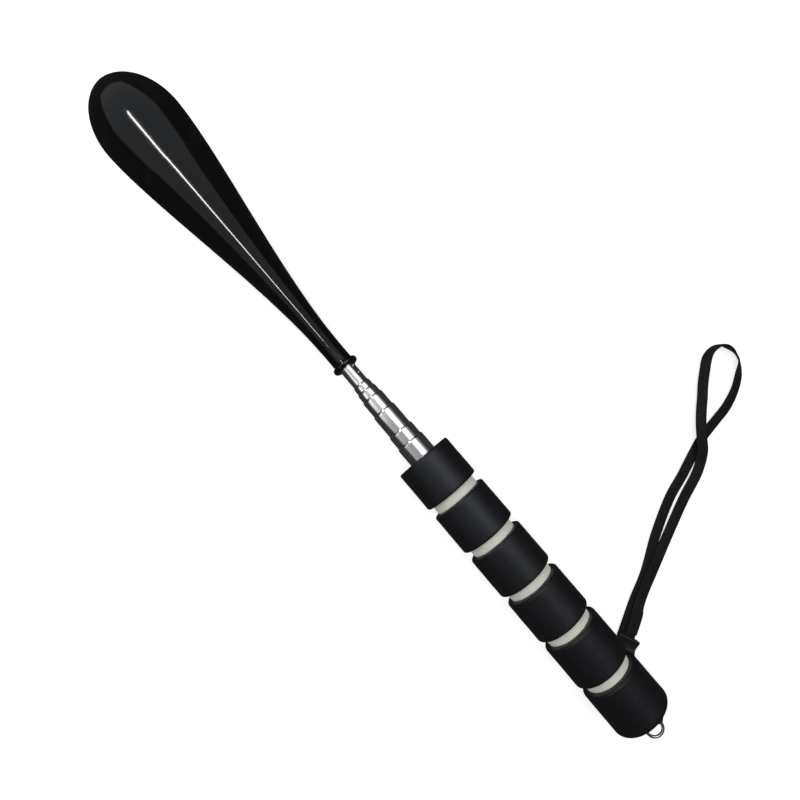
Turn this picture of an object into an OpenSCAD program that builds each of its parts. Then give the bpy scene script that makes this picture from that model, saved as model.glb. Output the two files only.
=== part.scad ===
// Extending shoe horn: a moulded blade on seven telescoping steel tubes, with a
// foam grip, glow-in-the-dark rings and a wrist strap. It lies on its back rims.
// Frame: +X runs from the grip to the blade's tip, +Z is up, and the origin is
// on the surface that it lies on, below the middle of its length.

/* [Grip] */
// Outside diameter of the foam sleeves
grip_d = 27; // [24:0.5:32]
// Length of each foam sleeve
sleeve_l = 19.8; // [18:0.1:22]
// Width of each recessed glow ring
ring_w = 4.3; // [3:0.1:6]
// Outside diameter of the glow rings
ring_d = 22; // [18:0.5:23]
// Length of the closed foam sleeve at the tail
end_l = 21.6; // [18:0.1:34]
// Rounding of the grip's tail
end_round = 2.5; // [1:0.5:5]
// Rounding of the sleeves' edges
edge_round = 0.9; // [0.3:0.1:1.5]

/* [Telescope] */
// Outside diameter of the thinnest tube
tube_d = 7.5; // [7:0.1:8]
// How much wider each next tube is
tube_step = 1; // [1:0.1:1.1]
// Wall of every tube
tube_wall = 0.3; // [0.25:0.05:0.35]
// How far each stage pulls out from rest
travel = 66.5; // [40:0.5:66.5]
// Width of the rolled lip at a tube's mouth
lip_l = 1; // [0.6:0.1:1.5]
// Length of the friction sleeves at the tubes' tails
clip_l = 12; // [6:1:14]

/* [Blade] */
// Greatest width of the blade
blade_w = 44.8; // [38:0.2:48]
// Length from the neck's mouth to the tip
blade_l = 200.4; // [180:0.2:220]
// Length of the rounded tip
tip_l = 35; // [30:0.1:45]
// Outside diameter of the neck
neck_d = 9.5; // [9.5:0.1:10.5]
// Outside diameter of the collar at the neck's mouth
collar_d = 12.6; // [11:0.1:15]
// Wall of the blade
blade_wall = 1.7; // [1.4:0.1:2]

/* [Strap] */
// Diameter of the cord between the loop and the clamp
cord_d = 1.4; // [1:0.1:1.6]
// Thickness of the plain tube that stands for the ribbon
ribbon_d = 2; // [1.5:0.1:2.4]
// Width, length and height of the moulded clamp
clamp_size = [9.5, 6.4, 4]; // [3:0.1:10]
// Diameter of the hanging loop's wire
wire_d = 1.3; // [0.8:0.1:1.4]

/* [Hidden] */
$fn = 64;

black = "#17181b";
steel = "#c9ccd1";
bronze = "#b08a4a";
glow = "#d9ddca";

// How much of each tube shows in front of the next one, thinnest first, then
// how much of the base tube shows in front of the grip.
shown = [9.7, 3.6, 4.2, 8, 11.6, 6.6, 9];
// How far each of the six moving tubes can still be pushed in from rest.
slack = [0, 0, 0, 4, 7.5, 2.5];
stages = 6;

axis_z = grip_d / 2;
front_l = blade_l + sum(shown);
grip_l = 5 * (sleeve_l + ring_w) + end_l;
loop_reach = 11.4;
grip_x = (grip_l + loop_reach - front_l) / 2;
tail_x = grip_x - grip_l;
neck_x = grip_x + sum(shown);

bond_gap = 0.02;
run_gap = 0.03;
face_gap = 0.05;
clip_t = 0.15;
guide_l = 20;

function sum(v, i = 0) = i < len(v) ? v[i] + sum(v, i + 1) : 0;
function sum_from(v, i) = i < len(v) ? v[i] + sum_from(v, i + 1) : 0;

// Telescope: tube k of 1 to 7, where tube 7 is the base tube
function tube_r(k) = (tube_d + (k - 1) * tube_step) / 2;
function mouth_x(k) = grip_x + sum_from(shown, k - 1);
function clip_x(k) = mouth_x(k + 1) - lip_l - travel - 0.3;
function tube_tail_x(k) =
    k == stages ? clip_x(k) - clip_l - guide_l : tube_tail_x(k + 1) + slack[k - 1];
stop_x = tube_tail_x(stages) - slack[stages - 1] - 0.4;
base_tail_x = tail_x + 3.6;
socket_l = 10;

// A ring of material along X between two places
module pipe_x(x0, x1, r_out, r_in) {
    translate([x0, 0, axis_z])
        rotate([0, 90, 0])
            difference() {
                cylinder(r = r_out, h = x1 - x0);
                translate([0, 0, -1]) cylinder(r = r_in, h = x1 - x0 + 2);
            }
}

module rod_x(x0, x1, r) {
    translate([x0, 0, axis_z])
        rotate([0, 90, 0])
            cylinder(r = r, h = x1 - x0);
}

// A profile of [radius, x] points turned about the telescope's axis
module turned(points) {
    translate([0, 0, axis_z])
        rotate([0, 90, 0])
            rotate_extrude()
                polygon(points);
}

function corner(cx, cy, r, a0, a1, n = 6) =
    [for (i = [0:n]) let (a = a0 + (a1 - a0) * i / n) [cx + r * cos(a), cy + r * sin(a)]];

// ---- telescope ----

module telescope_tube(k) {
    r = tube_r(k);
    lip_in = tube_r(k - 1) + run_gap;
    tail = k > stages ? base_tail_x : tube_tail_x(k);
    turned(concat(
        [[r - tube_wall, tail], [r, tail]],
        corner(r - lip_l / 2, mouth_x(k) - lip_l / 2, lip_l / 2, 0, 90),
        [[lip_in, mouth_x(k)], [lip_in, mouth_x(k) - lip_l], [r - tube_wall, mouth_x(k) - lip_l]]
    ));
}

// The thinnest tube has no lip: it ends in the blade's neck and is crimped twice
module tube_1() {
    r = tube_r(1);
    crimp_depth = 0.2;
    crimp_ball = 2;
    color(steel)
        difference() {
            pipe_x(tube_tail_x(1), neck_x + socket_l, r, r - tube_wall);
            for (back = [1.4, 5.3])
                translate([neck_x - back, 0, axis_z])
                    rotate([43, 0, 0])
                        translate([0, 0, r - crimp_depth + crimp_ball])
                            sphere(r = crimp_ball);
        }
}

module clip(k) {
    r = tube_r(k) + bond_gap;
    color(bronze) pipe_x(clip_x(k) - clip_l, clip_x(k), r + clip_t, r);
}

module blade_plug() {
    color(steel) rod_x(neck_x - 8, neck_x + socket_l, tube_r(1) - tube_wall - bond_gap);
}

// ---- blade ----

blade_x0 = neck_x + 6.8;
neck_l = 12.4;
wide_x = neck_x + blade_l - tip_l;
tip_turn = 86;
arch_steps = 14;
trough_r = neck_d / 2 - 0.1;
end_angle = 42;

function smooth(v) = v * v * (3 - 2 * v);
// Along the blade: s runs from 0 to 1 at its widest place and on to 2 at the tip
function along(s) =
    s <= 1 ? blade_x0 + s * (wide_x - blade_x0)
    : wide_x + tip_l * sin((s - 1) * tip_turn) / sin(tip_turn);
function half_width(s) =
    s <= 1 ? trough_r + (blade_w / 2 - trough_r) * smooth(s) - 22 * pow(s, 3) * pow(1 - s, 1.5)
    : blade_w / 2 * cos((s - 1) * tip_turn);
function arch_angle(s) =
    s <= 1 ? end_angle + 65 * pow(1 - s, 1.3) + 63 * exp(-s / 0.06)
    : end_angle * sqrt(cos((s - 1) * tip_turn));
function arch_wall(s) = min(blade_wall, 0.8 + 4 * s);
function arch_r(s) = half_width(s) / (arch_angle(s) < 90 ? sin(arch_angle(s)) : 1);
function arch_depth(s) = arch_r(s) * (1 - cos(arch_angle(s)));
// The top line droops from the neck until the rims reach the surface
function top_z(s) = max(
    axis_z + trough_r - 8.75 * smooth(min(s, 1)) - 20 * max(0, s - 1),
    arch_wall(s) * cos(arch_angle(s)) + arch_depth(s)
);
function arch_ring(s) =
    let (r = arch_r(s), a = arch_angle(s), zc = top_z(s) - r, ri = r - arch_wall(s), n = arch_steps)
    concat(
        [for (i = [0:n]) let (b = a * (2 * i / n - 1)) [along(s), r * sin(b), zc + r * cos(b)]],
        [for (i = [n:-1:0]) let (b = a * (2 * i / n - 1)) [along(s), ri * sin(b), zc + ri * cos(b)]]
    );

// An end face: one polygon, or for an arch a strip of quads between its two curves
function end_faces(n, arch) =
    arch ? [for (i = [0:n / 2 - 2]) [i, i + 1, n - 2 - i, n - 1 - i]] : [[for (i = [0:n - 1]) i]];

// Rings of points of one length joined into a closed skin
module skin(rings, arch = false) {
    n = len(rings[0]);
    last = len(rings) - 1;
    ends = end_faces(n, arch);
    polyhedron(
        points = [for (ring = rings) each ring],
        faces = concat(
            ends,
            [for (k = [0:last - 1], i = [0:n - 1])
                let (a = k * n + i, b = k * n + (i + 1) % n) [a, a + n, b + n, b]],
            [for (face = ends) [for (i = [len(face) - 1:-1:0]) last * n + face[i]]]
        )
    );
}

module blade_neck() {
    bead_w = 2.8;
    bead_round = 1.2;
    color(black)
        difference() {
            union() {
                rod_x(neck_x, neck_x + neck_l, neck_d / 2);
                turned(concat(
                    [[0.5, neck_x]],
                    corner(collar_d / 2 - bead_round, neck_x + bead_round, bead_round, -90, 0),
                    corner(collar_d / 2 - bead_round, neck_x + bead_w - bead_round, bead_round, 0, 90),
                    [[0.5, neck_x + bead_w]]
                ));
            }
            rod_x(neck_x - 1, neck_x + socket_l + 0.2, tube_r(1) + bond_gap);
        }
}

// The trough starts on the neck's end face
module blade() {
    body_steps = 26;
    tip_steps = 14;
    s0 = (neck_x + neck_l + bond_gap - blade_x0) / (wide_x - blade_x0);
    color(black)
        skin([for (i = [0:body_steps + tip_steps])
            arch_ring(i <= body_steps ? s0 + (1 - s0) * i / body_steps
                : 1 + (i - body_steps) / tip_steps)], arch = true);
}

// ---- grip ----

module grip_sleeve(i) {
    x1 = grip_x - (i - 1) * (sleeve_l + ring_w);
    x0 = x1 - sleeve_l;
    r = grip_d / 2;
    bore = tube_r(7) + face_gap;
    color(black) turned(concat(
        [[bore, x0]],
        corner(r - edge_round, x0 + edge_round, edge_round, -90, 0),
        corner(r - edge_round, x1 - edge_round, edge_round, 0, 90),
        [[bore, x1]]
    ));
}

module glow_ring(i) {
    x0 = grip_x - i * (sleeve_l + ring_w);
    color(glow) pipe_x(x0 + face_gap, x0 + ring_w - face_gap, ring_d / 2, tube_r(7) + face_gap);
}

module grip_end() {
    x1 = tail_x + end_l;
    r = grip_d / 2;
    bore = tube_r(7) + face_gap;
    color(black) turned(concat(
        [[bore, tail_x]],
        corner(r - end_round, tail_x + end_round, end_round, -90, 0, 8),
        corner(r - edge_round, x1 - edge_round, edge_round, 0, 90),
        [[bore, x1]]
    ));
}

module tail_plug() {
    color(black)
        difference() {
            union() {
                rod_x(tail_x + 3, stop_x, tube_r(7) - tube_wall - bond_gap);
                rod_x(tail_x + 0.2, base_tail_x - face_gap, tube_r(7));
            }
            for (side = [-1, 1])
                translate([tail_x, side * loop_r, axis_z])
                    rotate([0, 90, 0])
                        translate([0, 0, -1])
                            cylinder(d = wire_d + 2 * bond_gap, h = leg_l + 1.2);
        }
}

loop_r = 3.6;
leg_l = 10;
loop_x = tail_x - loop_reach + loop_r + wire_d / 2;

module hanging_loop() {
    color(steel)
        translate([loop_x, 0, axis_z]) {
            rotate([0, 0, 90])
                rotate_extrude(angle = 180)
                    translate([loop_r, 0]) circle(d = wire_d);
            for (side = [-1, 1])
                translate([0, side * loop_r, 0])
                    rotate([0, 90, 0])
                        cylinder(d = wire_d, h = tail_x + leg_l - loop_x);
        }
}

// ---- wrist strap ----

// From the loop's leg, down behind the grip's tail and forward below its flank
cord_route = [
    [-198.3, -5.2, 13], [-198.3, -5.8, 11], [-198.1, -6.4, 8.5], [-197.1, -7, 5.5],
    [-195.3, -8, 3], [-192.7, -8.9, 1.6], [-187.7, -9.6, 1], [-182.7, -9.6, 1],
    [-178.7, -9.6, 1.2], [-175.7, -10.2, 1.7], [-173.5, -11.8, 2]
];
// From the clamp, out along one strand, round the far loop and back over the other
ribbon_route = [
    [-167.9, -17.5, 1.3], [-160.8, -30.8, 1.2], [-155.1, -42.7, 1.2], [-145.8, -57.7, 1.2],
    [-137.9, -73.4, 1.2], [-133.8, -85.5, 1.2], [-130, -95.6, 1.2], [-127.1, -104.2, 1.3],
    [-125.3, -114.2, 1.4], [-123.7, -122.6, 1.5], [-120.2, -131.2, 1.6], [-115.2, -138.2, 1.8],
    [-110.9, -141.5, 2.1], [-105.9, -142.1, 2.3], [-101.3, -140.2, 2.4], [-99.9, -135.8, 2.4],
    [-101.1, -131.2, 2.3], [-105.1, -125.7, 2.3], [-109.3, -120.5, 2.4], [-113.2, -116.3, 2.6],
    [-117.7, -110.9, 3.3], [-121.8, -106.3, 4.2], [-126.3, -102.4, 4.4], [-130.7, -99.2, 3.8],
    [-134.9, -94.3, 2.6], [-138, -88.7, 2], [-142.1, -77.9, 1.6], [-148.7, -62.7, 1.6],
    [-155.6, -47.2, 1.9], [-161.3, -34.1, 2.5], [-166.4, -25.6, 2.7], [-170.7, -18.6, 2.6]
];
clamp_turn = 113.6;
clamp_at = [-170.7, -18, 0];

function unit(v) = v / norm(v);
// A round section at each point of a route, square to the way it runs there
function route_ring(route, i, r, sides) =
    let (
        t = unit(route[min(i + 1, len(route) - 1)] - route[max(i - 1, 0)]),
        side = unit(cross(t, abs(t[2]) < 0.8 ? [0, 0, 1] : [1, 0, 0])),
        up = cross(side, t)
    )
    [for (j = [0:sides - 1]) let (a = 360 * j / sides)
        route[i] + r * (cos(a) * side + sin(a) * up)];

module along_route(route, d) {
    skin([for (i = [0:len(route) - 1]) route_ring(route, i, d / 2, 8)]);
}

module strap_cord() {
    color(black) along_route(cord_route, cord_d);
}

module strap_ribbon() {
    color(black) along_route(ribbon_route, ribbon_d);
}

module strap_clamp() {
    color(black)
        translate(clamp_at)
            rotate([0, 0, clamp_turn])
                translate([face_gap, -clamp_size[0] / 2, 0])
                    cube([clamp_size[1], clamp_size[0], clamp_size[2]]);
}

blade();
blade_neck();
blade_plug();
tube_1();
for (k = [2:stages])
    color(steel) telescope_tube(k);
color(steel) telescope_tube(stages + 1);  // base_tube
for (k = [1:stages])
    clip(k);
for (i = [1:5])
    grip_sleeve(i);
for (i = [1:5])
    glow_ring(i);
grip_end();
tail_plug();
hanging_loop();
strap_cord();
strap_clamp();
strap_ribbon();
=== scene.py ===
"""Looks of an extending shoe horn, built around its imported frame.

Every length in this file is in millimetres until ``metres`` turns it into the frame's unit.
"""

import logging
import math
from dataclasses import dataclass, field
from enum import Enum
from typing import Callable, Sequence

import bmesh
import bpy
from mathutils import Matrix, Vector, noise

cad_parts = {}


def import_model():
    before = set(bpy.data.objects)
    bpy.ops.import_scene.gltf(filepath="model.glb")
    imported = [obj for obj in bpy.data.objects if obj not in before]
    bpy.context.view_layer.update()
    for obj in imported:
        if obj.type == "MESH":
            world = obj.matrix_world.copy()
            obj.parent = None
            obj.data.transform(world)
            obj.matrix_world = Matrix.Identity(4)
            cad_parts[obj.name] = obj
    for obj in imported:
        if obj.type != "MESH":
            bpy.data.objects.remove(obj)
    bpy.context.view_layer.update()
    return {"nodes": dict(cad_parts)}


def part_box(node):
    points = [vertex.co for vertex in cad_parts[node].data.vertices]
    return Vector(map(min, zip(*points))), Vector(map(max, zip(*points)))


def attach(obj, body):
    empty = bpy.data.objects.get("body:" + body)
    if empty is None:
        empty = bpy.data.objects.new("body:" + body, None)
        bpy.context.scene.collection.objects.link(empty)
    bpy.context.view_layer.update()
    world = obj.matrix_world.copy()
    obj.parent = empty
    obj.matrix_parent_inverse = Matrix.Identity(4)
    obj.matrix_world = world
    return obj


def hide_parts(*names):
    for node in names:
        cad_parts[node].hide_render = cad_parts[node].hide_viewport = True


LOG = logging.getLogger("shoe_horn")
MM = 0.001
FLOOR_DROP = 0.05
BORE_GAP = 0.03

Socket = bpy.types.NodeSocket
Piece = bpy.types.Object
Shape = bmesh.types.BMesh
Colour = tuple[float, float, float]
Outline = list[tuple[float, float]]
Placed = Callable[[float, float], Vector]
Surface = tuple[Socket, Socket]


class Slot(Enum):
    """Names of the material slots."""

    BLADE = "blade_gloss"
    TUBE = "tube_steel"
    FOAM = "foam"
    GLOW = "glow"
    PLASTIC = "black_plastic"
    LOOP = "loop_steel"
    STRAP = "strap"


# Small helpers


def metres(point: Sequence[float]) -> Vector:
    """Turns a point in millimetres into one in metres."""
    return Vector(point) * MM


def low(node: str) -> Vector:
    """The lowest corner of a frame node's box, in millimetres."""
    return Vector(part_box(node)[0]) / MM


def high(node: str) -> Vector:
    """The highest corner of a frame node's box, in millimetres."""
    return Vector(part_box(node)[1]) / MM


def axis_height() -> float:
    """The height of the telescope's axis."""
    return (low("base_tube").z + high("base_tube").z) / 2


def radius_of(node: str) -> float:
    """Half of a frame node's width, which is a round one's radius."""
    return (high(node).y - low(node).y) / 2


def smooth(t: float) -> float:
    """An S-shaped rise from 0 to 1, held flat outside that range."""
    t = min(max(t, 0.0), 1.0)
    return t * t * (3 - 2 * t)


def between(stops: Sequence[tuple[float, float]], t: float) -> float:
    """Reads a table of (place, value) stops with smooth steps between them.

    Args:
        stops: the table, in rising order of place.
        t: where to read it.

    Returns:
        The value at t.
    """
    for (t0, v0), (t1, v1) in zip(stops, stops[1:]):
        if t <= t1:
            return v0 + (v1 - v0) * smooth((t - t0) / (t1 - t0))
    return stops[-1][1]


@dataclass
class Route:
    """A smooth line through given points, walked by its length.

    Attributes:
        points: the route's own points, in millimetres.
        fine: how many short steps each stretch between two points is cut into.
    """

    points: Sequence[Sequence[float]]
    fine: int = 24
    line: list[Vector] = field(init=False)
    along: list[float] = field(init=False)

    def __post_init__(self) -> None:
        """Cuts the curve into short steps and adds up their lengths."""
        knots = [Vector(p) for p in self.points]
        knots = [2 * knots[0] - knots[1], *knots, 2 * knots[-1] - knots[-2]]
        self.line = [
            self.curve(knots[i : i + 4], step / self.fine)
            for i in range(len(knots) - 3)
            for step in range(self.fine)
        ] + [knots[-2]]
        self.along = [0.0]
        for a, b in zip(self.line, self.line[1:]):
            self.along.append(self.along[-1] + (b - a).length)

    @staticmethod
    def curve(knots: Sequence[Vector], t: float) -> Vector:
        """A point of the smooth curve from the second to the third of four knots."""
        a, b, c, d = knots
        return 0.5 * (
            2 * b + (c - a) * t + (2 * a - 5 * b + 4 * c - d) * t * t + (3 * b - a - 3 * c + d) * t**3
        )

    @property
    def length(self) -> float:
        """The whole length, in millimetres."""
        return self.along[-1]

    def at(self, share: float) -> Vector:
        """The point at a share, from 0 to 1, of the whole length."""
        want = min(max(share, 0.0), 1.0) * self.length
        first, last = 0, len(self.along) - 1
        while last - first > 1:
            middle = (first + last) // 2
            first, last = (middle, last) if self.along[middle] <= want else (first, middle)
        step = self.along[last] - self.along[first]
        return self.line[first].lerp(self.line[last], (want - self.along[first]) / max(step, 1e-9))

    def axes(self, share: float, roll: float = 0.0) -> tuple[Vector, Vector]:
        """The sideways and upward directions across the route.

        Args:
            share: where, from 0 to 1.
            roll: how far the two directions are turned about the route, in degrees.

        Returns:
            Two unit vectors, square to the route and to each other.
        """
        reach = 0.6 / self.length
        ahead = (self.at(share + reach) - self.at(share - reach)).normalized()
        side = ahead.cross(Vector((0, 0, 1)))
        side = side.normalized() if side.length > 0.2 else ahead.cross(Vector((1, 0, 0))).normalized()
        turn = Matrix.Rotation(math.radians(roll), 3, ahead)
        return turn @ side, turn @ side.cross(ahead)


# Mesh making


class Maker:
    """Turns bmesh shapes into finished pieces."""

    @staticmethod
    def piece(name: str, mesh: Shape, material: bpy.types.Material) -> Piece:
        """Puts a bmesh into a smooth-shaded object at the origin.

        Args:
            name: the piece's name.
            mesh: its shape, in metres, which is freed.
            material: its finish.

        Returns:
            The new object.
        """
        data = bpy.data.meshes.new(name)
        mesh.to_mesh(data)
        mesh.free()
        data.materials.append(material)
        for face in data.polygons:
            face.use_smooth = True
        piece = bpy.data.objects.new(name, data)
        bpy.context.scene.collection.objects.link(piece)
        return piece

    @staticmethod
    def shaped_grid(rows: int, columns: int, place: Placed, uv_size: tuple[float, float]) -> Shape:
        """Bends a flat grid into a surface, and joins the edges that meet.

        Args:
            rows: steps along the surface.
            columns: steps across it.
            place: gives the place, in millimetres, of each point (u, v) from 0 to 1.
            uv_size: the surface's length and width, in millimetres, for its pattern.

        Returns:
            The surface, with a pattern map in metres.
        """
        mesh = bmesh.new()
        bmesh.ops.create_grid(mesh, x_segments=rows, y_segments=columns, size=1.0)
        layer = mesh.loops.layers.uv.new("UVMap")
        for face in mesh.faces:
            for corner in face.loops:
                u, v = (corner.vert.co.x + 1) / 2, (corner.vert.co.y + 1) / 2
                corner[layer].uv = (u * uv_size[0] * MM, v * uv_size[1] * MM)
        for vert in mesh.verts:
            vert.co = metres(place((vert.co.x + 1) / 2, (vert.co.y + 1) / 2))
        bmesh.ops.remove_doubles(mesh, verts=mesh.verts, dist=1e-7)
        bmesh.ops.recalc_face_normals(mesh, faces=mesh.faces)
        return mesh

    @staticmethod
    def turned(profile: Sequence[tuple[float, float]], axis_z: float, steps: int = 144) -> Shape:
        """Turns a closed outline about the telescope's axis.

        Args:
            profile: the outline's (x, radius) points, in millimetres.
            axis_z: the height of the axis, in millimetres.
            steps: how many steps make the full turn.

        Returns:
            The closed ring.
        """
        mesh = bmesh.new()
        verts = [mesh.verts.new(metres((x, 0, axis_z + r))) for x, r in profile]
        edges = [mesh.edges.new(pair) for pair in zip(verts, verts[1:] + verts[:1])]
        bmesh.ops.spin(
            mesh,
            geom=verts + edges,
            cent=metres((0, 0, axis_z)),
            axis=(1, 0, 0),
            angle=math.tau,
            steps=steps,
            use_merge=True,
        )
        bmesh.ops.remove_doubles(mesh, verts=mesh.verts, dist=1e-7)
        bmesh.ops.recalc_face_normals(mesh, faces=mesh.faces)
        return mesh

    @staticmethod
    def cap(mesh: Shape) -> None:
        """Closes a pipe's two ends."""
        bmesh.ops.holes_fill(mesh, edges=[edge for edge in mesh.edges if edge.is_boundary])
        bmesh.ops.recalc_face_normals(mesh, faces=mesh.faces)

    @staticmethod
    def rounded(x: float, r: float, size: float, start: float, stop: float, steps: int = 8) -> Outline:
        """Points of a quarter-round edge of an outline.

        Args:
            x: the rounding's centre along the axis.
            r: the rounding's centre away from the axis.
            size: its radius.
            start: the first point's angle, where 0 points along +X and 90 points outwards.
            stop: the last point's angle.
            steps: the number of steps.

        Returns:
            The (x, radius) points.
        """
        angles = [math.radians(start + (stop - start) * i / steps) for i in range(steps + 1)]
        return [(x + size * math.cos(a), r + size * math.sin(a)) for a in angles]


# Finishes


class Graph:
    """A short way to add and join shader nodes."""

    def __init__(self, tree: bpy.types.NodeTree) -> None:
        """Starts on a node tree."""
        self.tree = tree

    def add(self, kind: str, **settings: object) -> bpy.types.Node:
        """Adds a node and sets its properties."""
        node = self.tree.nodes.new(kind)
        for name, value in settings.items():
            setattr(node, name, value)
        return node

    def join(self, source: Socket, target: Socket) -> None:
        """Links two sockets."""
        self.tree.links.new(source, target)

    def put(self, socket: Socket, value: object) -> None:
        """Links an input to a socket, or sets it to a plain value."""
        if isinstance(value, Socket):
            self.join(value, socket)
        else:
            socket.default_value = value

    def feed(self, node: bpy.types.Node, **values: object) -> bpy.types.Node:
        """Sets or links a node's inputs, named with _ for each space."""
        for name, value in values.items():
            self.put(node.inputs[name.replace("_", " ")], value)
        return node

    def maths(self, operation: str, *values: object) -> Socket:
        """A Math node on up to three values; returns its output."""
        node = self.add("ShaderNodeMath", operation=operation)
        for socket, value in zip(node.inputs, values):
            self.put(socket, value)
        return node.outputs[0]

    def times(self, a: object, b: object) -> Socket:
        """One value times another."""
        return self.maths("MULTIPLY", a, b)

    def plus(self, a: object, b: object) -> Socket:
        """One value plus another."""
        return self.maths("ADD", a, b)

    def spread(
        self, value: Socket, in_range: tuple[float, float], out_range: tuple[float, float] = (0.0, 1.0)
    ) -> Socket:
        """Maps one range of values onto another, held at its ends."""
        node = self.add("ShaderNodeMapRange")
        self.join(value, node.inputs[0])
        for socket, number in zip(node.inputs[1:5], (*in_range, *out_range)):
            socket.default_value = number
        return node.outputs[0]

    def mix(self, share: object, dark: Sequence[float], light: Sequence[float]) -> Socket:
        """Mixes two colours by a share; returns the colour."""
        node = self.add("ShaderNodeMix", data_type="RGBA")
        self.put(node.inputs[0], share)
        for socket, colour in ((node.inputs[6], dark), (node.inputs[7], light)):
            self.put(socket, colour if isinstance(colour, Socket) else (*colour, 1.0))
        return node.outputs[2]


class Effect(Enum):
    """The shared surface effects, each a node group that is built once."""

    GRAIN = "fine_grain"
    STREAKS = "drawn_streaks"
    WEAR = "edge_wear"
    DUST = "dust_film"
    WEAVE = "ribbed_weave"

    def group(self) -> bpy.types.NodeTree:
        """The effect's node group."""
        ready = bpy.data.node_groups.get(self.value)
        return ready if ready else EffectShop.build(self)


class EffectShop:
    """Builds the shared node groups."""

    @classmethod
    def build(cls, effect: Effect) -> bpy.types.NodeTree:
        """Builds one effect's group.

        Args:
            effect: which effect.

        Returns:
            The finished group.
        """
        tree = bpy.data.node_groups.new(effect.value, "ShaderNodeTree")
        tree.interface.new_socket("Vector", in_out="INPUT", socket_type="NodeSocketVector")
        for name in ("Scale", "Amount"):
            tree.interface.new_socket(name, in_out="INPUT", socket_type="NodeSocketFloat")
        for name in ("Height", "Mask"):
            tree.interface.new_socket(name, in_out="OUTPUT", socket_type="NodeSocketFloat")
        graph = Graph(tree)
        inputs, outputs = graph.add("NodeGroupInput"), graph.add("NodeGroupOutput")
        recipe = {
            Effect.GRAIN: cls.grain,
            Effect.STREAKS: cls.streaks,
            Effect.WEAR: cls.wear,
            Effect.DUST: cls.dust,
            Effect.WEAVE: cls.weave,
        }[effect]
        height, mask = recipe(graph, inputs.outputs["Vector"], inputs.outputs["Scale"])
        amount = inputs.outputs["Amount"]
        graph.join(graph.times(height, amount), outputs.inputs["Height"])
        graph.join(graph.times(mask, amount), outputs.inputs["Mask"])
        return tree

    @staticmethod
    def grain(graph: Graph, where: Socket, scale: Socket) -> Surface:
        """Closed cells or moulded grain: small soft pits with a finer noise on them."""
        cells = graph.add("ShaderNodeTexVoronoi", feature="SMOOTH_F1")
        graph.feed(cells, Vector=where, Scale=scale, Smoothness=0.6)
        fine = graph.add("ShaderNodeTexNoise")
        graph.feed(fine, Vector=where, Scale=graph.times(scale, 2.3))
        height = graph.plus(cells.outputs["Distance"], graph.times(fine.outputs["Fac"], 0.5))
        return height, graph.spread(height, (0.35, 0.95))

    @staticmethod
    def streaks(graph: Graph, where: Socket, scale: Socket) -> Surface:
        """Long fine lines along X, as a drawn tube has."""
        stretch = graph.add("ShaderNodeMapping")
        graph.feed(stretch, Vector=where, Scale=(0.02, 1.0, 1.0))
        lines = graph.add("ShaderNodeTexNoise")
        graph.feed(lines, Vector=stretch.outputs[0], Scale=scale, Detail=4.0, Roughness=0.7)
        return lines.outputs["Fac"], graph.spread(lines.outputs["Fac"], (0.42, 0.68))

    @staticmethod
    def wear(graph: Graph, where: Socket, scale: Socket) -> Surface:
        """Rubbed edges: where the shape is sharp, broken up by noise."""
        shape = graph.add("ShaderNodeNewGeometry")
        sharp = graph.spread(shape.outputs["Pointiness"], (0.53, 0.62))
        patches = graph.add("ShaderNodeTexNoise")
        graph.feed(patches, Vector=where, Scale=scale, Detail=5.0)
        worn = graph.times(sharp, graph.spread(patches.outputs["Fac"], (0.4, 0.65)))
        return worn, worn

    @staticmethod
    def dust(graph: Graph, where: Socket, scale: Socket) -> Surface:
        """Faint smudges with a few specks in them."""
        smudge = graph.add("ShaderNodeTexNoise")
        graph.feed(smudge, Vector=where, Scale=scale, Detail=6.0, Distortion=0.8)
        specks = graph.add("ShaderNodeTexVoronoi")
        graph.feed(specks, Vector=where, Scale=graph.times(scale, 9.0))
        dots = graph.spread(specks.outputs["Distance"], (0.03, 0.09), (1.0, 0.0))
        film = graph.spread(smudge.outputs["Fac"], (0.48, 0.75))
        return film, graph.plus(film, graph.times(dots, film))

    @staticmethod
    def weave(graph: Graph, where: Socket, scale: Socket) -> Surface:
        """Cross ribs of a woven ribbon, with the warp threads between them."""
        split = graph.add("ShaderNodeSeparateXYZ")
        graph.join(where, split.inputs[0])
        turn = graph.times(scale, math.tau)
        ribs = graph.maths("SINE", graph.times(split.outputs["X"], turn))
        warps = graph.maths("SINE", graph.times(split.outputs["Y"], graph.times(turn, 1.6)))
        height = graph.plus(graph.times(ribs, 0.5), graph.times(warps, 0.25))
        fuzz = graph.add("ShaderNodeTexNoise")
        graph.feed(fuzz, Vector=where, Scale=4000.0, Detail=2.0)
        mask = graph.spread(height, (-0.6, 0.6))
        return graph.plus(height, graph.times(fuzz.outputs["Fac"], 0.4)), mask


@dataclass(frozen=True)
class Touch:
    """One effect as a finish uses it.

    Attributes:
        effect: which shared effect.
        scale: how fine it is.
        colour: the colour that its mask mixes in, or None.
        share: how much of that colour.
        roughness: how much its mask adds to the roughness.
        bump: how deep it is, in millimetres.
    """

    effect: Effect
    scale: float
    colour: Colour | None = None
    share: float = 0.0
    roughness: float = 0.0
    bump: float = 0.0


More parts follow.
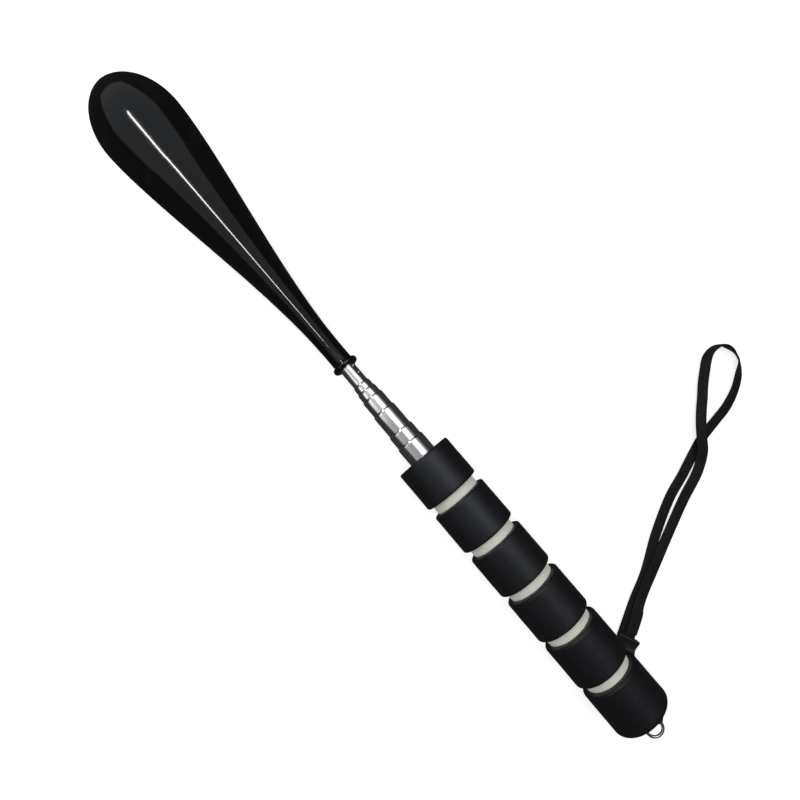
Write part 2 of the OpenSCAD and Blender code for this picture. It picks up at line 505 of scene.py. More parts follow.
@dataclass(frozen=True)
class Finish:
    """A material: its constants, and the effects laid over it.

    Attributes:
        name: the material's name.
        colour: its base colour.
        roughness: its roughness where no effect adds to it.
        touches: the effects, in order.
        on_map: whether the effects follow the piece's own pattern map.
        constants: further sockets of the shader, by name.
    """

    name: str
    colour: Colour
    roughness: float
    touches: tuple[Touch, ...] = ()
    on_map: bool = False
    constants: tuple[tuple[str, object], ...] = ()

    def material(self) -> bpy.types.Material:
        """Builds the material, or returns it if it is already built."""
        ready = bpy.data.materials.get(self.name)
        if ready:
            return ready
        made = bpy.data.materials.new(self.name)
        made.use_nodes = True
        graph = Graph(made.node_tree)
        shader = made.node_tree.nodes["Principled BSDF"]
        for socket, value in self.constants:
            shader.inputs[socket].default_value = value
        shader.inputs["Base Color"].default_value = (*self.colour, 1.0)
        shader.inputs["Roughness"].default_value = self.roughness
        self.lay_effects(graph, shader)
        return made

    def lay_effects(self, graph: Graph, shader: bpy.types.Node) -> None:
        """Adds each effect to the colour, the roughness and the normal.

        Args:
            graph: the material's nodes.
            shader: its Principled shader.
        """
        where = graph.add("ShaderNodeTexCoord").outputs["UV" if self.on_map else "Object"]
        colour: object = self.colour
        rough: object = self.roughness
        normal = None
        for touch in self.touches:
            group = graph.add("ShaderNodeGroup", node_tree=touch.effect.group())
            graph.feed(group, Vector=where, Scale=touch.scale, Amount=1.0)
            mask = group.outputs["Mask"]
            if touch.colour:
                colour = graph.mix(graph.times(mask, touch.share), colour, touch.colour)
            if touch.roughness:
                rough = graph.plus(graph.times(mask, touch.roughness), rough)
            if touch.bump:
                bump = graph.add("ShaderNodeBump")
                graph.feed(bump, Height=group.outputs["Height"], Strength=1.0, Distance=touch.bump * MM)
                if normal:
                    graph.join(normal, bump.inputs["Normal"])
                normal = bump.outputs[0]
        if isinstance(colour, Socket):
            graph.join(colour, shader.inputs["Base Color"])
        if isinstance(rough, Socket):
            graph.join(graph.maths("MINIMUM", rough, 1.0), shader.inputs["Roughness"])
        if normal:
            graph.join(normal, shader.inputs["Normal"])


GLOSS = Finish(
    "black_gloss_moulding",
    (0.0022, 0.0023, 0.0027),
    0.26,
    touches=(
        Touch(Effect.DUST, 60.0, colour=(0.012, 0.012, 0.014), share=0.25, roughness=0.06),
        Touch(Effect.WEAR, 900.0, colour=(0.03, 0.03, 0.033), share=0.12, roughness=0.1),
        Touch(Effect.GRAIN, 45.0, bump=0.0015),
    ),
    constants=(
        ("Specular IOR Level", 0.0),
        ("Coat Weight", 1.0),
        ("Coat Roughness", 0.08),
        ("Coat IOR", 1.5),
    ),
)
STEEL = Finish(
    "tube_steel_finish",
    (0.78, 0.775, 0.77),
    0.1,
    touches=(
        Touch(Effect.STREAKS, 5000.0, colour=(0.6, 0.59, 0.58), share=0.25, roughness=0.12, bump=0.002),
        Touch(Effect.DUST, 300.0, roughness=0.05),
        Touch(Effect.WEAR, 1500.0, colour=(0.86, 0.86, 0.86), share=0.4),
    ),
    constants=(("Metallic", 1.0),),
)
WIRE = Finish(
    "loop_wire",
    (0.7, 0.69, 0.68),
    0.14,
    touches=(
        Touch(Effect.GRAIN, 3000.0, roughness=0.12, bump=0.006),
        Touch(Effect.DUST, 500.0, colour=(0.3, 0.29, 0.28), share=0.3),
    ),
    constants=(("Metallic", 1.0),),
)
PLUG_STEEL = Finish(
    "plug_steel_finish",
    (0.55, 0.55, 0.55),
    0.3,
    touches=(Touch(Effect.STREAKS, 3000.0, roughness=0.2, bump=0.006),),
    constants=(("Metallic", 1.0),),
)
BRONZE = Finish(
    "clip_bronze_finish",
    (0.56, 0.37, 0.17),
    0.28,
    touches=(
        Touch(Effect.GRAIN, 2500.0, colour=(0.35, 0.2, 0.09), share=0.5, roughness=0.2, bump=0.005),
        Touch(Effect.WEAR, 1500.0, colour=(0.75, 0.55, 0.3), share=0.6),
    ),
    constants=(("Metallic", 1.0),),
)
FOAM = Finish(
    "foam_black",
    (0.0035, 0.0035, 0.0042),
    0.38,
    touches=(
        Touch(Effect.GRAIN, 2600.0, colour=(0.006, 0.006, 0.0075), share=0.6, roughness=0.1, bump=0.04),
        Touch(Effect.DUST, 260.0, colour=(0.02, 0.02, 0.022), share=0.12),
        Touch(Effect.WEAR, 700.0, colour=(0.02, 0.02, 0.023), share=0.4),
    ),
    constants=(("Specular IOR Level", 0.5), ("Specular Tint", (0.9, 0.93, 1.0, 1.0))),
)
GLOW = Finish(
    "glow_rubber",
    (0.74, 0.745, 0.65),
    0.5,
    touches=(
        Touch(Effect.GRAIN, 2200.0, colour=(0.64, 0.65, 0.55), share=0.35, roughness=0.15, bump=0.02),
        Touch(Effect.DUST, 400.0, colour=(0.5, 0.5, 0.45), share=0.3),
    ),
    constants=(("Specular IOR Level", 0.35),),
)
PLASTIC = Finish(
    "moulded_black",
    (0.004, 0.004, 0.0045),
    0.4,
    touches=(
        Touch(Effect.GRAIN, 4000.0, colour=(0.016, 0.016, 0.017), share=0.5, roughness=0.15, bump=0.012),
        Touch(Effect.WEAR, 1200.0, colour=(0.05, 0.05, 0.05), share=0.6, roughness=0.1),
    ),
)
RIBBON = Finish(
    "strap_ribbon",
    (0.0045, 0.0045, 0.005),
    0.62,
    touches=(
        Touch(Effect.WEAVE, 1850.0, colour=(0.011, 0.011, 0.0125), share=0.7, roughness=0.1, bump=0.05),
        Touch(Effect.DUST, 500.0, colour=(0.02, 0.02, 0.021), share=0.25),
    ),
    on_map=True,
    constants=(("Specular IOR Level", 0.2), ("Sheen Weight", 0.04), ("Sheen Roughness", 0.35)),
)
BRAID = Finish(
    "strap_braid",
    (0.005, 0.005, 0.0055),
    0.6,
    touches=(Touch(Effect.WEAVE, 2400.0, colour=(0.02, 0.02, 0.022), share=0.7, bump=0.05),),
    on_map=True,
    constants=(("Sheen Weight", 0.1),),
)


# The object


def settle(piece: Piece, body: str, slot: Slot, *nodes: str) -> None:
    """Joins a piece to its body, and puts it in the place of frame nodes.

    Args:
        piece: the finished piece.
        body: the body that it rides on.
        slot: its material slot; not used.
        nodes: the frame nodes that it replaces.
    """
    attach(piece, body)
    if nodes:
        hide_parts(*nodes)
    LOG.info(piece.name)


def dress(node: Piece, finish: Finish) -> None:
    """Gives a frame node its finish."""
    node.data.materials.clear()
    node.data.materials.append(finish.material())
    LOG.info("%s keeps its frame shape", node.name)


def walled(piece: Piece, name: str, thickness: float, offset: float = -1.0) -> bpy.types.Modifier:
    """Gives a skin its wall.

    Args:
        piece: the skin.
        name: the modifier's name.
        thickness: the wall, in millimetres.
        offset: -1 to grow inwards, 0 to grow both ways.

    Returns:
        The modifier.
    """
    wall = piece.modifiers.new(name, "SOLIDIFY")
    wall.thickness = thickness * MM
    wall.offset = offset
    return wall


@dataclass
class Blade:
    """The moulded blade: a collar, a round neck, and a trough that ends in a rounded tip.

    Attributes:
        body: the body that it rides on.
        wall: the trough's wall.
        neck_wall: the neck's wall.
        bead: the collar's width along the neck.
        neck_r: the neck's outer radius.
        mouth_r: the radius of the hole in the neck.
        end_angle: the trough's half angle at its widest place, in degrees.
        tip_turn: how far round its ellipse the tip goes, in degrees.
        slot_round: how far the neck takes to open into the trough.
        droop: how far the trough's back falls from the neck to its widest place.
        tip_l: the length of the rounded tip.
        tip_fall: how much further the back falls along the tip.
        taper_start: where the trough's curves start, from the neck's mouth.
        waist: how hollow the trough's sides are.
    """

    body: str = "stage_1"
    wall: float = 1.7
    neck_wall: float = 0.9
    bead: float = 2.8
    neck_r: float = 4.75
    mouth_r: float = 3.85
    end_angle: float = 42.0
    tip_turn: float = 86.0
    slot_round: float = 5.0
    droop: float = 8.75
    tip_l: float = 35.0
    tip_fall: float = 20.0
    taper_start: float = 6.8
    waist: float = 22.0

    def __post_init__(self) -> None:
        """Takes its places from the frame."""
        self.axis_z = axis_height()
        self.mouth_x = low("blade_neck").x
        self.neck_end = high("blade_neck").x
        self.tip_x = high("blade").x
        self.half_w = radius_of("blade")
        self.collar_r = radius_of("blade_neck")
        self.start_x = self.mouth_x + self.taper_start
        self.wide_x = self.tip_x - self.tip_l

    def trough(self, x: float) -> tuple[float, float, float, float]:
        """The trough's section at a place.

        Args:
            x: the place, from the neck to the tip.

        Returns:
            Its radius, its half angle in degrees, the height of its top, and its wall.
        """
        s = (x - self.start_x) / (self.wide_x - self.start_x)
        wall = min(self.wall, 0.8 + 4 * max(s, 0))
        if s <= 1:
            narrow = self.neck_r - 0.1
            width = narrow + (self.half_w - narrow) * smooth(s) - self.waist * s**3 * (1 - s) ** 1.5
            width += 0.1 * (1 - smooth((x - self.neck_end) / 12))
            angle = self.end_angle + 65 * (1 - s) ** 1.3 + 63 * math.exp(-s / 0.06)
            fall = self.droop * smooth(s)
        else:
            turn = math.asin(min((x - self.wide_x) / self.tip_l * math.sin(math.radians(self.tip_turn)), 1))
            width = self.half_w * math.cos(turn)
            angle = self.end_angle * math.sqrt(math.cos(turn))
            fall = self.droop + self.tip_fall * math.degrees(turn) / self.tip_turn
        radius = width / (math.sin(math.radians(angle)) if angle < 90 else 1)
        cosine = math.cos(math.radians(angle))
        top = max(self.axis_z + self.neck_r - fall, wall * cosine + radius * (1 - cosine))
        return radius, angle, top, wall

    def section(self, u: float) -> tuple[float, float, float, float]:
        """The blade's section at a share of its rows.

        Args:
            u: from 0 at the neck's mouth to 1 at the tip.

        Returns:
            Its place along X, radius, half angle in degrees and centre height.
        """
        bead_end, neck_end, trough_end = 0.12, 0.16, 0.72
        if u <= 0.012:
            r = self.mouth_r + (self.neck_r - self.mouth_r) * u / 0.012
            return self.mouth_x, r, 180.0, self.axis_z
        if u <= bead_end:
            turn = math.pi * (u - 0.012) / (bead_end - 0.012)
            x = self.mouth_x + self.bead / 2 * (1 - math.cos(turn))
            r = self.neck_r + (self.collar_r - self.neck_r) * math.sin(turn) ** 0.7
            return x, r, 180.0, self.axis_z
        if u <= neck_end:
            start = self.mouth_x + self.bead
            x = start + (self.neck_end - start) * (u - bead_end) / (neck_end - bead_end)
            return x, self.neck_r, 180.0, self.axis_z
        if u <= trough_end:
            share = (u - neck_end) / (trough_end - neck_end)
            x = self.neck_end + (self.wide_x - self.neck_end) * share
        else:
            share = (u - trough_end) / (1 - trough_end)
            turn = math.radians(self.tip_turn)
            x = self.wide_x + self.tip_l * math.sin(share * turn) / math.sin(turn)
        radius, angle, top, _ = self.trough(x)
        opened = smooth((x - self.neck_end) / self.slot_round) ** 0.5
        return x, radius, 180 - (180 - angle) * opened, top - radius

    def build(self) -> None:
        """Makes the blade as one moulding."""
        rows, columns = 260, 84

        def place(u: float, v: float) -> Vector:
            """A point of the outer skin."""
            x, radius, angle, centre = self.section(u)
            turn = math.radians(angle) * (2 * v - 1)
            return Vector((x, radius * math.sin(turn), centre + radius * math.cos(turn)))

        mesh = Maker.shaped_grid(rows, columns, place, (self.tip_x - self.mouth_x, 2 * self.half_w))
        self.turn_out(mesh)
        piece = Maker.piece("blade_moulding", mesh, GLOSS.material())
        thickness = piece.vertex_groups.new(name="wall")
        for vert in piece.data.vertices:
            x = vert.co.x / MM
            share = self.neck_wall if x < self.neck_end else self.trough(x)[3]
            thickness.add([vert.index], share / self.wall, "REPLACE")
        walled(piece, "wall", self.wall).vertex_group = "wall"
        rim = piece.modifiers.new("rim", "BEVEL")
        rim.width = 0.5 * MM
        rim.segments = 3
        rim.limit_method = "ANGLE"
        rim.angle_limit = math.radians(55)
        settle(piece, self.body, Slot.BLADE, "blade", "blade_neck")

    def turn_out(self, mesh: Shape) -> None:
        """Makes the skin's faces point away from the blade's hollow side."""
        top = max(mesh.faces, key=lambda face: face.calc_center_median().z)
        if top.normal.z < 0:
            bmesh.ops.reverse_faces(mesh, faces=mesh.faces)


@dataclass
class Telescope:
    """The nested tubes.

    Attributes:
        wall: the tubes' wall.
        shoulder: the length of the rolled shoulder at a tube's mouth.
        lip: the length of the lip inside the mouth.
        crimps: the two crimps on the thinnest tube, as distances behind the neck's mouth.
        stages: how many tubes move.
        crimp_angle: where they are round the tube, in degrees from the top towards -Y.
        crimp_r: a crimp's radius.
        crimp_depth: how deep it is.
    """

    wall: float = 0.3
    shoulder: float = 1.25
    lip: float = 1.0
    stages: int = 6
    crimps: tuple[float, ...] = (1.4, 5.3)
    crimp_angle: float = 43.0
    crimp_r: float = 0.95
    crimp_depth: float = 0.42

    def __post_init__(self) -> None:
        """Takes the axis from the frame."""
        self.axis_z = axis_height()

    def lipped(self, node: str, inner: str, body: str) -> None:
        """Makes a tube whose mouth is rolled in onto the next one.

        Args:
            node: the tube.
            inner: the tube that slides in it.
            body: the body that it rides on.
        """
        r, mouth, tail = radius_of(node), high(node).x, low(node).x
        lip_r = radius_of(inner) + BORE_GAP
        rise = r - lip_r - 0.1
        shoulder = [
            (mouth - self.shoulder * (1 - math.sin(a)), r - rise * (1 - math.cos(a)))
            for a in (math.radians(90 * i / 10) for i in range(11))
        ]
        profile = [
            (tail, r - self.wall),
            (tail, r - 0.06),
            (tail + 0.1, r),
            (mouth - self.shoulder - 0.9, r),
            *shoulder,
            (mouth, lip_r),
            (mouth - self.lip, lip_r),
            (mouth - self.lip, r - self.wall),
        ]
        piece = Maker.piece(f"{node}_rolled", Maker.turned(profile, self.axis_z, 160), STEEL.material())
        settle(piece, body, Slot.TUBE, node)

    def crimped(self) -> None:
        """Makes the thinnest tube, with its two crimps."""
        node = "tube_1"
        r, front, tail = radius_of(node), high(node).x, low(node).x
        mouth = low("blade_neck").x
        fine_from = mouth - 11

        def place(u: float, v: float) -> Vector:
            """A point of the outer skin, pushed in at the crimps."""
            share = (u - 0.2) / 0.8
            x = tail + (fine_from - tail) * u / 0.2 if u < 0.2 else fine_from + (front - fine_from) * share
            turn = math.tau * v
            angle = math.radians(self.crimp_angle)
            depth = 0.0
            for back in self.crimps:
                across = r * abs(math.remainder(turn - (math.pi - angle), math.tau))
                away = math.hypot(x - (mouth - back), across) / self.crimp_r
                depth += self.crimp_depth * (1 - smooth(away)) if away < 1 else 0.0
            radius = r - depth
            return Vector((x, -radius * math.sin(turn), self.axis_z - radius * math.cos(turn)))

        mesh = Maker.shaped_grid(230, 170, place, (front - tail, math.tau * r))
        piece = Maker.piece("tube_1_crimped", mesh, STEEL.material())
        walled(piece, "wall", self.wall)
        settle(piece, "stage_1", Slot.TUBE, node)

    def build(self, nodes: dict[str, Piece]) -> None:
        """Makes every tube, and finishes the hidden sleeves and the plug.

        Args:
            nodes: the frame's objects by node name.
        """
        self.crimped()
        for stage in range(2, self.stages + 1):
            self.lipped(f"tube_{stage}", f"tube_{stage - 1}", f"stage_{stage}")
        self.lipped("base_tube", f"tube_{self.stages}", "handle")
        for stage in range(1, self.stages + 1):
            dress(nodes[f"clip_{stage}"], BRONZE)
        dress(nodes["blade_plug"], PLUG_STEEL)


@dataclass
class Grip:
    """The foam sleeves and the pale rings between them.

    Attributes:
        sleeves: how many sleeves there are before the closed one.
        edge: the rounding of a sleeve's cut edges.
        end_round: the rounding of the closed sleeve's tail.
        ripple: how far the foam is from a true round.
        crown: how far a ring stands up in its middle.
    """

    sleeves: int = 5
    edge: float = 0.9
    end_round: float = 2.5
    ripple: float = 0.05
    crown: float = 0.12

    def __post_init__(self) -> None:
        """Takes the axis from the frame."""
        self.axis_z = axis_height()
        self.bore = radius_of("base_tube") + BORE_GAP

    def soften(self, mesh: Shape, seed: float) -> None:
        """Makes the foam a little uneven, as it is when it is ground to size.

        Args:
            mesh: the sleeve.
            seed: where its unevenness is read, so that no two sleeves are alike.
        """
        centre = Vector((0, 0, self.axis_z * MM))
        for vert in mesh.verts:
            out = vert.co - centre
            out.x = 0
            if out.length > (self.bore + 0.5) * MM:
                wave = noise.noise(vert.co * 160 + Vector((seed, 0, 0)))
                vert.co += out.normalized() * (wave - 0.4) * self.ripple * MM

    def sleeve(self, node: str, seed: float, tail_edge: float, tail_steps: int, barrel: Outline) -> None:
        """Turns one sleeve, softens it and joins it to the handle.

        Args:
            node: the frame node that it replaces.
            seed: where its unevenness is read.
            tail_edge: the rounding of its edge towards the tail.
            tail_steps: how many steps that rounding takes.
            barrel: the points between its two edges, from the tail forwards.
        """
        x0, x1, r = low(node).x, high(node).x, radius_of(node)
        profile = [
            (x1, self.bore),
            *Maker.rounded(x1 - self.edge, r - self.edge, self.edge, 0, 90),
            *reversed(barrel),
            *Maker.rounded(x0 + tail_edge, r - tail_edge, tail_edge, 90, 180, tail_steps),
            (x0, self.bore),
        ]
        mesh = Maker.turned(profile, self.axis_z, 180)
        self.soften(mesh, seed)
        settle(Maker.piece(f"{node}_foam", mesh, FOAM.material()), "handle", Slot.FOAM, node)

    @staticmethod
    def barrel(node: str, start: float, first: int) -> Outline:
        """The straight part of a sleeve's outline, from a place near its tail."""
        span = high(node).x - start
        return [(start + span * i / 24, radius_of(node)) for i in range(first, 23)]

    def ring(self, node: str) -> None:
        """Makes one pale ring with a slight crown."""
        x0, x1, r = low(node).x, high(node).x, radius_of(node)
        top = [(x1 + (x0 - x1) * i / 12, r - self.crown * (2 * i / 12 - 1) ** 2) for i in range(13)]
        profile = [(x1, self.bore), *top, (x0, self.bore)]
        band = Maker.turned(profile, self.axis_z, 160)
        settle(Maker.piece(f"{node}_band", band, GLOW.material()), "handle", Slot.GLOW, node)

    def build(self) -> None:
        """Makes the whole grip."""
        for i in range(1, self.sleeves + 1):
            node = f"grip_sleeve_{i}"
            self.sleeve(node, 3.1 * i, self.edge, 8, self.barrel(node, low(node).x, 2))
            self.ring(f"glow_ring_{i}")
        start = low("grip_end").x + self.end_round
        self.sleeve("grip_end", 23.0, self.end_round, 16, self.barrel("grip_end", start, 1))


@dataclass
class Tail:
    """The plug and the wire loop at the tail."""

    wire: float = 1.3
    loop_r: float = 3.6

    def __post_init__(self) -> None:
        """Takes its places from the frame."""
        self.axis_z = axis_height()
        self.tip_x = low("hanging_loop").x
        self.leg_x = high("hanging_loop").x

    def build(self, nodes: dict[str, Piece]) -> None:
        """Makes the wire loop and finishes the plug.

        Args:
            nodes: the frame's objects by node name.
        """
        centre_x = self.tip_x + self.loop_r + self.wire / 2
        leg = self.leg_x - centre_x
        bend = math.pi * self.loop_r
        total = 2 * leg + bend

        def centre(run: float) -> tuple[Vector, Vector]:
            """A point of the wire's middle, and the direction to its outside."""
            if run < leg or run > leg + bend:
                side = -1 if run < leg else 1
                x = self.leg_x - run if run < leg else centre_x + run - leg - bend
                return Vector((x, side * self.loop_r, self.axis_z)), Vector((0, side, 0))
            turn = math.pi * (run - leg) / bend
            out = Vector((-math.sin(turn), -math.cos(turn), 0))
            return Vector((centre_x, 0, self.axis_z)) + out * self.loop_r, out

        def place(u: float, v: float) -> Vector:
            """A point of the wire's skin."""
            middle, out = centre(u * total)
            turn = math.tau * v
            return middle + self.wire / 2 * (math.cos(turn) * out + math.sin(turn) * Vector((0, 0, 1)))

        mesh = Maker.shaped_grid(120, 24, place, (total, math.pi * self.wire))
        Maker.cap(mesh)
        piece = Maker.piece("hanging_loop_wire", mesh, WIRE.material())
        settle(piece, "handle", Slot.LOOP, "hanging_loop")
        dress(nodes["tail_plug"], PLASTIC)


@dataclass
class Strap:
    """The wrist strap: a braided cord, a moulded clamp and a woven ribbon loop.

    Attributes:
        cord_d: the cord's diameter.
        ribbon_w: the ribbon's width.
        ribbon_t: the ribbon's thickness.
        rib_pitch: the distance between the ribbon's cross ribs.
        clamp_at: the middle of the clamp's cord end, on the surface that it lies on.
        clamp_turn: how far its length is turned from X, in degrees.
        clamp_size: its length, width and height.
        cord_route: the cord's points, from the wire loop to the clamp.
        ribbon_route: the ribbon's points, out from the clamp and back to it.
        rolls: how far the ribbon is turned about its own run, in degrees, by share of its length.
    """

    cord_d: float = 1.4
    ribbon_w: float = 4.5
    ribbon_t: float = 0.7
    rib_pitch: float = 0.55
    clamp_at: tuple[float, float, float] = (-170.7, -18, 0)
    clamp_turn: float = 113.6
    clamp_size: tuple[float, float, float] = (6.4, 9.5, 4.0)
    cord_route: Sequence[Sequence[float]] = (
        (-198.3, -5.2, 13), (-198.3, -5.8, 11), (-198.1, -6.4, 8.5), (-197.1, -7, 5.5),
        (-195.3, -8, 3), (-192.7, -8.9, 1.6), (-187.7, -9.6, 1), (-182.7, -9.6, 1),
        (-178.7, -9.6, 1.2), (-175.7, -10.2, 1.7), (-173.5, -11.8, 2),
    )
    ribbon_route: Sequence[Sequence[float]] = (
        (-168.9, -15.6, 1.5), (-167.9, -17.5, 1.3), (-160.8, -30.8, 1.2), (-155.1, -42.7, 1.2),
        (-145.8, -57.7, 1.2), (-137.9, -73.4, 1.2), (-133.8, -85.5, 1.2), (-130, -95.6, 1.2),
        (-127.1, -104.2, 1.3), (-125.3, -114.2, 1.4), (-123.7, -122.6, 1.5), (-120.2, -131.2, 1.6),
        (-115.2, -138.2, 1.8), (-110.9, -141.5, 2.1), (-105.9, -142.1, 2.3), (-101.3, -140.2, 2.4),
        (-99.9, -135.8, 2.4), (-101.1, -131.2, 2.3), (-105.1, -125.7, 2.3), (-109.3, -120.5, 2.4),
        (-113.2, -116.3, 2.6), (-117.7, -110.9, 3.3), (-121.8, -106.3, 4.2), (-126.3, -102.4, 4.4),
        (-130.7, -99.2, 3.8), (-134.9, -94.3, 2.6), (-138, -88.7, 2), (-142.1, -77.9, 1.6),
        (-148.7, -62.7, 1.6), (-155.6, -47.2, 1.9), (-161.3, -34.1, 2.5), (-166.4, -25.6, 2.7),
        (-171.4, -16.9, 2.3),
    )
    rolls: Sequence[tuple[float, float]] = (
        (0.0, 0), (0.1, 6), (0.3, 4), (0.38, 12), (0.44, 26), (0.478, 62), (0.5, 88), (0.525, 66),
        (0.56, 26), (0.6, 20), (0.66, 6), (0.9, -4), (1.0, 0),
    )

    def build_cord(self) -> Piece:
        """Makes the braided cord."""
        route, r = Route(self.cord_route), self.cord_d / 2
        rows, sides, strands = 300, 32, 8

        def place(u: float, v: float) -> Vector:
            """A point of the cord's skin, raised along its crossing strands."""
            side, up = route.axes(u)
            turn = math.tau * v
            lean = strands * turn / 2
            run = u * route.length * 2.6
            weave = math.sin(lean + run) * math.sin(lean - run)
            radius = r * (0.94 + 0.06 * weave)
            return route.at(u) + radius * (math.cos(turn) * side + math.sin(turn) * up)

        mesh = Maker.shaped_grid(rows, sides, place, (route.length, math.pi * self.cord_d))
        Maker.cap(mesh)
        piece = Maker.piece("strap_cord_braid", mesh, BRAID.material())
        self.centres = [tuple(metres(route.at(i / rows))) for i in range(rows + 1)]
        self.cord_length = route.length
        return piece

    def build_knot(self) -> Piece:
        """Makes the cord's turn round the leg of the wire loop."""
        leg_y = -3.6
        centre = Vector((self.cord_route[0][0], leg_y, axis_height()))
        ring_r, cord_r = 1.2, 0.5

        def place(u: float, v: float) -> Vector:
            """A point of a ring of cord round the leg."""
            turn, round_cord = math.tau * u, math.tau * v
            out = Vector((0, math.cos(turn), math.sin(turn)))
            r = cord_r * (1 + 0.06 * math.sin(turn * 9 + round_cord * 4))
            sideways = Vector((r * math.sin(round_cord), 0, 0))
            return centre + out * (ring_r + r * math.cos(round_cord)) + sideways

        mesh = Maker.shaped_grid(96, 24, place, (math.tau * ring_r, math.tau * cord_r))
        return Maker.piece("strap_knot", mesh, BRAID.material())

    def build_clamp(self) -> Piece:
        """Makes the moulded clamp with its waist and its rounded edges."""
        length, width, height = self.clamp_size
        mesh = bmesh.new()
        bmesh.ops.create_cube(mesh, size=1.0)
        bmesh.ops.scale(mesh, vec=(length, width, height), verts=mesh.verts)
        lengthwise = [e for e in mesh.edges if abs(e.verts[0].co.x - e.verts[1].co.x) > 1]
        bmesh.ops.subdivide_edges(mesh, edges=lengthwise, cuts=5, use_grid_fill=True)
        for vert in mesh.verts:
            waist = math.exp(-((vert.co.x - 0.6) / 0.9) ** 2)
            vert.co.z *= 1 - 0.16 * waist
            vert.co.y *= 1 - 0.05 * waist
        bmesh.ops.bevel(
            mesh,
            geom=[e for e in mesh.edges if e.calc_face_angle(0) > 0.8],
            offset=0.55,
            offset_type="OFFSET",
            segments=4,
            profile=0.5,
            affect="EDGES",
            material=-1,
        )
        place = (
            Matrix.Translation(Vector(self.clamp_at))
            @ Matrix.Rotation(math.radians(self.clamp_turn), 4, "Z")
            @ Matrix.Translation(Vector((length / 2 + 0.05, 0, height / 2)))
        )
        bmesh.ops.transform(mesh, matrix=Matrix.Scale(MM, 4) @ place, verts=mesh.verts)
        bmesh.ops.recalc_face_normals(mesh, faces=mesh.faces)
        piece = Maker.piece("strap_clamp_moulding", mesh, PLASTIC.material())
        soft = piece.modifiers.new("edges", "SUBSURF")
        soft.levels = soft.render_levels = 1
        return piece

    def centre(self, route: Route, u: float) -> tuple[Vector, float]:
        """The ribbon's middle and its roll at a share of its length, kept above the surface."""
        roll = between(self.rolls, u)
        at = route.at(u)
        lift = abs(math.sin(math.radians(roll))) * self.ribbon_w / 2 + self.ribbon_t / 2 + 0.08
        return Vector((at.x, at.y, max(at.z, lift))), roll

    def build_ribbon(self) -> Piece:
        """Makes the woven ribbon loop, with ribs and sides that curve down a little."""
        route = Route(self.ribbon_route)
        rows, columns = 2000, 10
        self.ribbon_length = route.length

        def place(u: float, v: float) -> Vector:
            """A point of the ribbon's middle layer."""
            middle, roll = self.centre(route, u)
            side, up = route.axes(u, roll)
            across = v - 0.5
            rib = 0.035 * math.cos(math.tau * u * route.length / self.rib_pitch) * (1 - abs(2 * across) ** 6)
            cup = 0.12 * (2 * across) ** 2
            return middle + side * across * (self.ribbon_w - 0.1) + up * (rib - cup)

        mesh = Maker.shaped_grid(rows, columns, place, (route.length, self.ribbon_w))
        piece = Maker.piece("strap_ribbon_woven", mesh, RIBBON.material())
        walled(piece, "cloth", self.ribbon_t, 0.0)
        self.ribbon_centres = [tuple(self.centre(route, i / 400)[0] * MM) for i in range(401)]
        return piece

    def build_hem(self) -> Piece:
        """Makes the ribbon's folded end, stitched down beside the clamp."""
        route, start, stop = Route(self.ribbon_route), 0.952, 0.99

        def place(u: float, v: float) -> Vector:
            """A point of the short top layer."""
            share = start + (stop - start) * u
            middle, roll = self.centre(route, share)
            side, up = route.axes(share, roll)
            lift = 0.62 * smooth(u / 0.16)
            rib = 0.03 * math.cos(math.tau * share * route.length / self.rib_pitch)
            return middle + side * (v - 0.5) * self.ribbon_w * 1.03 + up * (rib + lift)

        mesh = Maker.shaped_grid(90, 10, place, ((stop - start) * route.length, self.ribbon_w))
        piece = Maker.piece("strap_hem", mesh, RIBBON.material())
        walled(piece, "cloth", self.ribbon_t * 0.9, 0.0)
        return piece

    def build(self) -> None:
        """Makes the whole strap."""
        cord, knot, clamp = self.build_cord(), self.build_knot(), self.build_clamp()
        ribbon, hem = self.build_ribbon(), self.build_hem()
        settle(cord, "handle", Slot.STRAP, "strap_cord")
        settle(knot, "handle", Slot.STRAP)
        settle(clamp, "handle", Slot.PLASTIC, "strap_clamp")
        settle(ribbon, "handle", Slot.STRAP, "strap_ribbon")
        settle(hem, "handle", Slot.STRAP)


# The studio


@dataclass(frozen=True)
class Panel:
    """A flat light that faces down.

    Attributes:
        name: its name.
        at: its middle, in millimetres.
        size: its length and width, in millimetres.
        radiance: how bright its face is.
        colour: its colour.
        turn: how far its length is turned from X, in degrees.
        mirrored: whether shiny surfaces show it.
    """

    name: str
    at: tuple[float, float, float]
    size: tuple[float, float]
    radiance: float
    colour: Colour = (1.0, 1.0, 1.0)
    turn: float = 0.0
    mirrored: bool = True

    def build(self) -> None:
        """Makes the light."""
        light = bpy.data.lights.new(self.name, "AREA")
        light.shape = "RECTANGLE"
        light.size, light.size_y = self.size[0] * MM, self.size[1] * MM
        light.energy = self.radiance * math.pi * light.size * light.size_y
        light.color = self.colour
        lamp = bpy.data.objects.new(self.name, light)
        lamp.location = metres(self.at)
        lamp.rotation_euler = (0, 0, math.radians(self.turn))
        lamp.visible_glossy = self.mirrored
        bpy.context.scene.collection.objects.link(lamp)


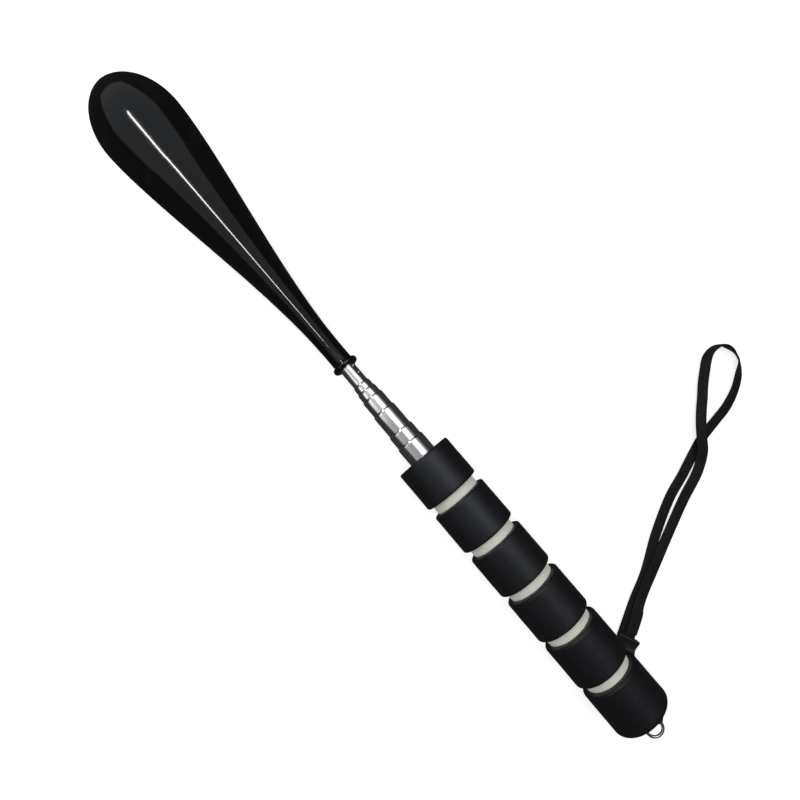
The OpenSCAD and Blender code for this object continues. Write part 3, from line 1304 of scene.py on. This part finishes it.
@dataclass(frozen=True)
class Studio:
    """The camera, the floor and the lights.

    Attributes:
        eye: the camera's place, in millimetres.
        aim: a point that it looks at, in millimetres.
        up: the direction that is upwards in its view.
        lens: its focal length.
        floor_size: the floor's width, in millimetres.
    """

    eye: tuple[float, float, float] = (-47.03, 0.08, 256.7)
    aim: tuple[float, float, float] = (-23.15, -9.0, 5.0)
    up: tuple[float, float, float] = (0.7553, -0.6485, 0.0951)
    lens: float = 24.35
    floor_size: float = 6000.0
    panels: tuple[Panel, ...] = (
        Panel("ceiling", (1650, -55, 800), (3700, 1690), 0.34, (0.9, 0.95, 1.0)),
        Panel("near_ceiling", (125, 330, 810), (190, 920), 0.3),
        Panel("side", (-70, 1010, 805), (580, 470), 0.38),
        Panel("lamp", (630, 60, 790), (740, 34), 34.0, turn=-6.0),
        Panel("lamp_glow", (625, 60, 795), (760, 130), 0.85, turn=-6.0),
        Panel("lamp_end", (150, 1120, 795), (140, 1250), 0.82),
        Panel("window", (-90, -420, 780), (560, 680), 1.6),
        Panel("window_side", (-90, -1160, 785), (560, 800), 0.22),
        Panel("fill", (0, 0, 1500), (1500, 1500), 0.95, mirrored=False),
    )

    def camera(self) -> None:
        """Makes the camera."""
        data = bpy.data.cameras.new("camera")
        data.lens = self.lens
        data.sensor_width = 36.0
        data.clip_start = 0.005
        data.clip_end = 50.0
        camera = bpy.data.objects.new("camera", data)
        back = (Vector(self.eye) - Vector(self.aim)).normalized()
        right = Vector(self.up).cross(back).normalized()
        turn = Matrix((right, back.cross(right), back)).transposed()
        camera.matrix_world = Matrix.Translation(metres(self.eye)) @ turn.to_4x4()
        bpy.context.scene.collection.objects.link(camera)
        bpy.context.scene.camera = camera

    def floor(self) -> None:
        """Makes the pale floor, which shows but isn't mirrored in the steel."""
        mesh = bmesh.new()
        bmesh.ops.create_grid(mesh, x_segments=1, y_segments=1, size=self.floor_size / 2 * MM)
        bmesh.ops.translate(mesh, vec=(0, 0, -FLOOR_DROP * MM), verts=mesh.verts)
        paper = bpy.data.materials.new("paper")
        paper.use_nodes = True
        shader = paper.node_tree.nodes["Principled BSDF"]
        shader.inputs["Base Color"].default_value = (0.6, 0.6, 0.6, 1.0)
        shader.inputs["Roughness"].default_value = 0.9
        shader.inputs["Specular IOR Level"].default_value = 0.0
        shader.inputs["Emission Color"].default_value = (1.0, 1.0, 1.0, 1.0)
        shader.inputs["Emission Strength"].default_value = 0.68
        floor = Maker.piece("floor", mesh, paper)
        floor.visible_glossy = False

    def world(self) -> None:
        """Makes a dim surround, darker towards the horizon."""
        world = bpy.data.worlds.new("surround")
        world.use_nodes = True
        bpy.context.scene.world = world
        graph = Graph(world.node_tree)
        backdrop = world.node_tree.nodes["Background"]
        where = graph.add("ShaderNodeTexCoord")
        split = graph.add("ShaderNodeSeparateXYZ")
        graph.join(where.outputs["Generated"], split.inputs[0])
        height = graph.spread(split.outputs["Z"], (0.05, 0.9))
        graph.join(graph.mix(height, (0.04, 0.038, 0.037), (0.06, 0.06, 0.063)), backdrop.inputs["Color"])
        backdrop.inputs["Strength"].default_value = 1.0

    def build(self) -> None:
        """Makes the whole studio."""
        self.camera()
        self.floor()
        self.world()
        for panel in self.panels:
            panel.build()
        bpy.context.scene.view_settings.view_transform = "Standard"
        bpy.context.scene.view_settings.look = "None"
        LOG.info("studio")


def main() -> None:
    """Builds the studio, then each sub-assembly."""
    logging.basicConfig(level=logging.INFO, format="%(name)s: %(message)s")
    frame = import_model()
    Studio().build()
    Strap().build()
    Blade().build()
    Telescope().build(frame["nodes"])
    Grip().build()
    Tail().build(frame["nodes"])


if __name__ == "__main__":
    main()
